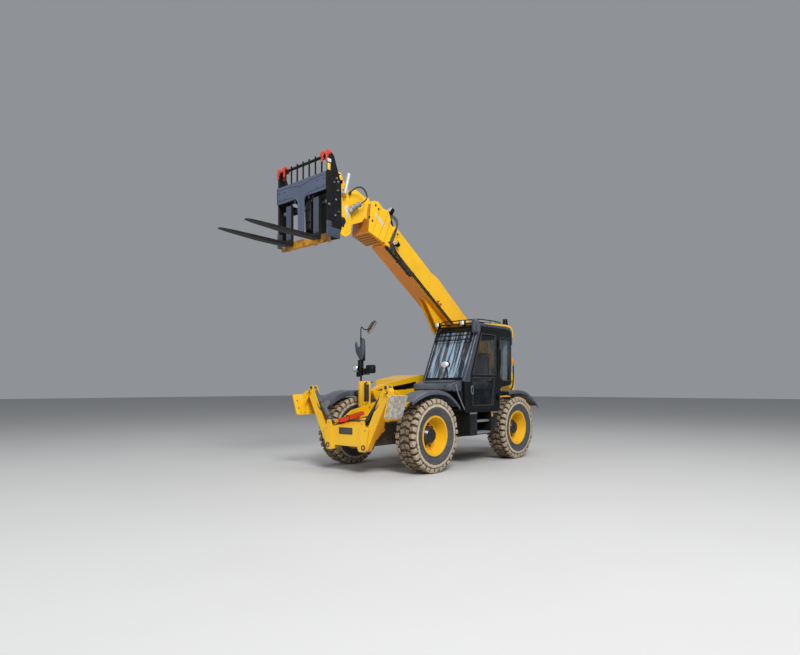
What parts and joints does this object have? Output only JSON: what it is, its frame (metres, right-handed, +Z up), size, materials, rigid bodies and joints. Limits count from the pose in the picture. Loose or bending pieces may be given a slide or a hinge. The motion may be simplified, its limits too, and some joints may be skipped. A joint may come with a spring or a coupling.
{
  "type": "telescopic handler",
  "caption": "Telescopic handler with a raised extending boom, fork carriage, side cab, front stabilisers and steered wheels.",
  "frame": {"origin": "on the ground below the middle of the machine's outline, with its boom raised and its fork tips in front", "axes": "+X forward, +Y to the cab's side, +Z up"},
  "size_m": [7.4942, 2.3408, 5.0449],
  "materials": {
    "paint_yellow": "semi-gloss",
    "rim_yellow": "semi-gloss",
    "axle_grey": "satin",
    "tyre_rubber": "matt, muddy",
    "plastic_grey": "matt",
    "carriage_blue": "satin",
    "fork_steel": "satin",
    "cab_dark": "satin",
    "glass": "clear",
    "seat_fabric": "woven",
    "step_metal": "satin",
    "ram_paint": "semi-gloss",
    "chrome_rod": "polished",
    "engine_iron": "dull",
    "signal_red": "semi-gloss"
  },
  "bodies": {
    "chassis": {"front_axle": "axle_grey", "rear_axle": "axle_grey", "fender_rear_left": "plastic_grey", "fender_rear_right": "plastic_grey", "chassis_frame": "paint_yellow", "nose_frame": "paint_yellow", "counterweight": "paint_yellow", "boom_tower": "paint_yellow", "cab_frame": "cab_dark", "cab_glass": "glass", "front_cowl": "plastic_grey", "operator_seat": "seat_fabric", "steering_column": "cab_dark", "side_steps": "step_metal", "engine_block": "engine_iron", "engine_bay": "paint_yellow", "mast_bracket": "paint_yellow", "mast_pole": "cab_dark", "roof_guard": "cab_dark", "lamp_hoop": "cab_dark", "cab_mirror": "plastic_grey", "safety_strut": "signal_red", "tow_hitch": "paint_yellow"},
    "steer_front_left": {"knuckle_front_left": "axle_grey", "fender_front_left": "plastic_grey"},
    "roll_front_left": {"tyre_front_left": "tyre_rubber", "wheel_front_left": "rim_yellow"},
    "steer_front_right": {"knuckle_front_right": "axle_grey", "fender_front_right": "plastic_grey"},
    "roll_front_right": {"tyre_front_right": "tyre_rubber", "wheel_front_right": "rim_yellow"},
    "steer_rear_left": {"knuckle_rear_left": "axle_grey"},
    "roll_rear_left": {"tyre_rear_left": "tyre_rubber", "wheel_rear_left": "rim_yellow"},
    "steer_rear_right": {"knuckle_rear_right": "axle_grey"},
    "roll_rear_right": {"tyre_rear_right": "tyre_rubber", "wheel_rear_right": "rim_yellow"},
    "boom_outer_section": {"outer_boom": "paint_yellow"},
    "boom_mid_section": {"mid_boom": "paint_yellow"},
    "boom_inner_section": {"inner_boom": "paint_yellow"},
    "level_pin": {"tilt_pin": "fork_steel"},
    "carriage": {"hitch_frame": "paint_yellow", "fork_carriage": "carriage_blue", "load_guard": "carriage_blue", "guard_hooks": "signal_red", "forks": "fork_steel"},
    "lift_ram_barrel": {"lift_barrel": "ram_paint"},
    "lift_ram_rod": {"lift_rod": "chrome_rod"},
    "stabiliser_left": {"leg_left": "paint_yellow"},
    "stabiliser_foot_left": {"foot_left": "paint_yellow"},
    "leg_ram_barrel_left": {"leg_barrel_left": "ram_paint"},
    "leg_ram_rod_left": {"leg_rod_left": "chrome_rod"},
    "stabiliser_right": {"leg_right": "paint_yellow"},
    "stabiliser_foot_right": {"foot_right": "paint_yellow"},
    "leg_ram_barrel_right": {"leg_barrel_right": "ram_paint"},
    "leg_ram_rod_right": {"leg_rod_right": "chrome_rod"},
    "door": {"cab_door": "cab_dark", "door_glass": "glass"},
    "bonnet": {"engine_bonnet": "paint_yellow"}
  },
  "joints": [
    {"name": "steer_front_left", "type": "hinge", "parent": "chassis", "child": "steer_front_left", "pos_m": [0.62915, 0.72, 0.6275], "axis": [0, 0, 1], "range_deg": [-32, 32]},
    {"name": "spin_front_left", "type": "hinge", "parent": "steer_front_left", "child": "roll_front_left", "pos_m": [0.62915, 0.955, 0.6275], "axis": [0, 1, 0], "continuous": true},
    {"name": "steer_front_right", "type": "hinge", "parent": "chassis", "child": "steer_front_right", "pos_m": [0.62915, -0.72, 0.6275], "axis": [0, 0, 1], "range_deg": [-32, 32]},
    {"name": "spin_front_right", "type": "hinge", "parent": "steer_front_right", "child": "roll_front_right", "pos_m": [0.62915, -0.955, 0.6275], "axis": [0, 1, 0], "continuous": true},
    {"name": "steer_rear_left", "type": "hinge", "parent": "chassis", "child": "steer_rear_left", "pos_m": [-2.12085, 0.72, 0.6275], "axis": [0, 0, 1], "range_deg": [-32, 32]},
    {"name": "spin_rear_left", "type": "hinge", "parent": "steer_rear_left", "child": "roll_rear_left", "pos_m": [-2.12085, 0.955, 0.6275], "axis": [0, 1, 0], "continuous": true},
    {"name": "steer_rear_right", "type": "hinge", "parent": "chassis", "child": "steer_rear_right", "pos_m": [-2.12085, -0.72, 0.6275], "axis": [0, 0, 1], "range_deg": [-32, 32]},
    {"name": "spin_rear_right", "type": "hinge", "parent": "steer_rear_right", "child": "roll_rear_right", "pos_m": [-2.12085, -0.955, 0.6275], "axis": [0, 1, 0], "continuous": true},
    {"name": "boom_lift", "type": "hinge", "parent": "chassis", "child": "boom_outer_section", "pos_m": [-3.37085, -0.08, 1.62], "axis": [0, -1, 0], "range_deg": [-37, 36]},
    {"name": "telescope_mid", "type": "slide", "parent": "boom_outer_section", "child": "boom_mid_section", "axis": [0.8387, 0, 0.5446], "range_m": [0, 3.7]},
    {"name": "telescope_inner", "type": "slide", "parent": "boom_mid_section", "child": "boom_inner_section", "axis": [0.8387, 0, 0.5446], "range_m": [0, 3.7]},
    {"name": "carriage_level", "type": "hinge", "parent": "boom_inner_section", "child": "level_pin", "pos_m": [1.77215, -0.08, 4.189], "axis": [0, -1, 0], "range_deg": [-36, 37]},
    {"name": "carriage_tilt", "type": "hinge", "parent": "level_pin", "child": "carriage", "pos_m": [1.77215, -0.08, 4.189], "axis": [0, 1, 0], "range_deg": [-12, 45]},
    {"name": "lift_barrel_swing", "type": "hinge", "parent": "chassis", "child": "lift_ram_barrel", "pos_m": [-3.07085, -0.08, 0.9], "axis": [0, -1, 0], "range_deg": [-34, 33]},
    {"name": "lift_rod_slide", "type": "slide", "parent": "lift_ram_barrel", "child": "lift_ram_rod", "axis": [0.7687, 0, 0.6396], "range_m": [-0.57, 0.56]},
    {"name": "stabiliser_left", "type": "hinge", "parent": "chassis", "child": "stabiliser_left", "pos_m": [1.56615, 0.43, 0.46], "axis": [-1, 0, 0], "range_deg": [0, 73]},
    {"name": "foot_left", "type": "hinge", "parent": "stabiliser_left", "child": "stabiliser_foot_left", "pos_m": [1.56615, 0.935, 1.365], "axis": [-1, 0, 0], "range_deg": [-10, 10]},
    {"name": "leg_barrel_swing_left", "type": "hinge", "parent": "chassis", "child": "leg_ram_barrel_left", "pos_m": [1.56615, 0.41, 0.85], "axis": [-1, 0, 0], "range_deg": [0, 78.3]},
    {"name": "leg_rod_slide_left", "type": "slide", "parent": "leg_ram_barrel_left", "child": "leg_ram_rod_left", "axis": [0, 0.6389, 0.7693], "range_m": [0, 0.48]},
    {"name": "stabiliser_right", "type": "hinge", "parent": "chassis", "child": "stabiliser_right", "pos_m": [1.56615, -0.43, 0.46], "axis": [1, 0, 0], "range_deg": [0, 73]},
    {"name": "foot_right", "type": "hinge", "parent": "stabiliser_right", "child": "stabiliser_foot_right", "pos_m": [1.56615, -0.935, 1.365], "axis": [1, 0, 0], "range_deg": [-10, 10]},
    {"name": "leg_barrel_swing_right", "type": "hinge", "parent": "chassis", "child": "leg_ram_barrel_right", "pos_m": [1.56615, -0.41, 0.85], "axis": [1, 0, 0], "range_deg": [0, 78.3]},
    {"name": "leg_rod_slide_right", "type": "slide", "parent": "leg_ram_barrel_right", "child": "leg_ram_rod_right", "axis": [0, -0.6389, 0.7693], "range_m": [0, 0.48]},
    {"name": "cab_door", "type": "hinge", "parent": "chassis", "child": "door", "pos_m": [-1.38585, 1.115, 1.7], "axis": [0, 0, 1], "range_deg": [0, 90]},
    {"name": "engine_bonnet", "type": "hinge", "parent": "chassis", "child": "bonnet", "pos_m": [-1.36085, -0.7, 1.36], "axis": [0, -1, 0], "range_deg": [0, 60]}
  ],
  "couplings": [
    {"joint": "steer_front_right", "follows": "steer_front_left", "ratio": 1},
    {"joint": "steer_rear_right", "follows": "steer_rear_left", "ratio": 1},
    {"joint": "telescope_inner", "follows": "telescope_mid", "ratio": 1},
    {"joint": "carriage_level", "follows": "boom_lift", "ratio": -1},
    {"joint": "lift_barrel_swing", "follows": "boom_lift", "ratio": 0.8987},
    {"joint": "lift_rod_slide", "follows": "boom_lift", "m_per_rad": 0.8713},
    {"joint": "leg_barrel_swing_left", "follows": "stabiliser_left", "ratio": 1.065},
    {"joint": "leg_rod_slide_left", "follows": "stabiliser_left", "m_per_rad": 0.372},
    {"joint": "leg_barrel_swing_right", "follows": "stabiliser_right", "ratio": 1.065},
    {"joint": "leg_rod_slide_right", "follows": "stabiliser_right", "m_per_rad": 0.372}
  ]
}
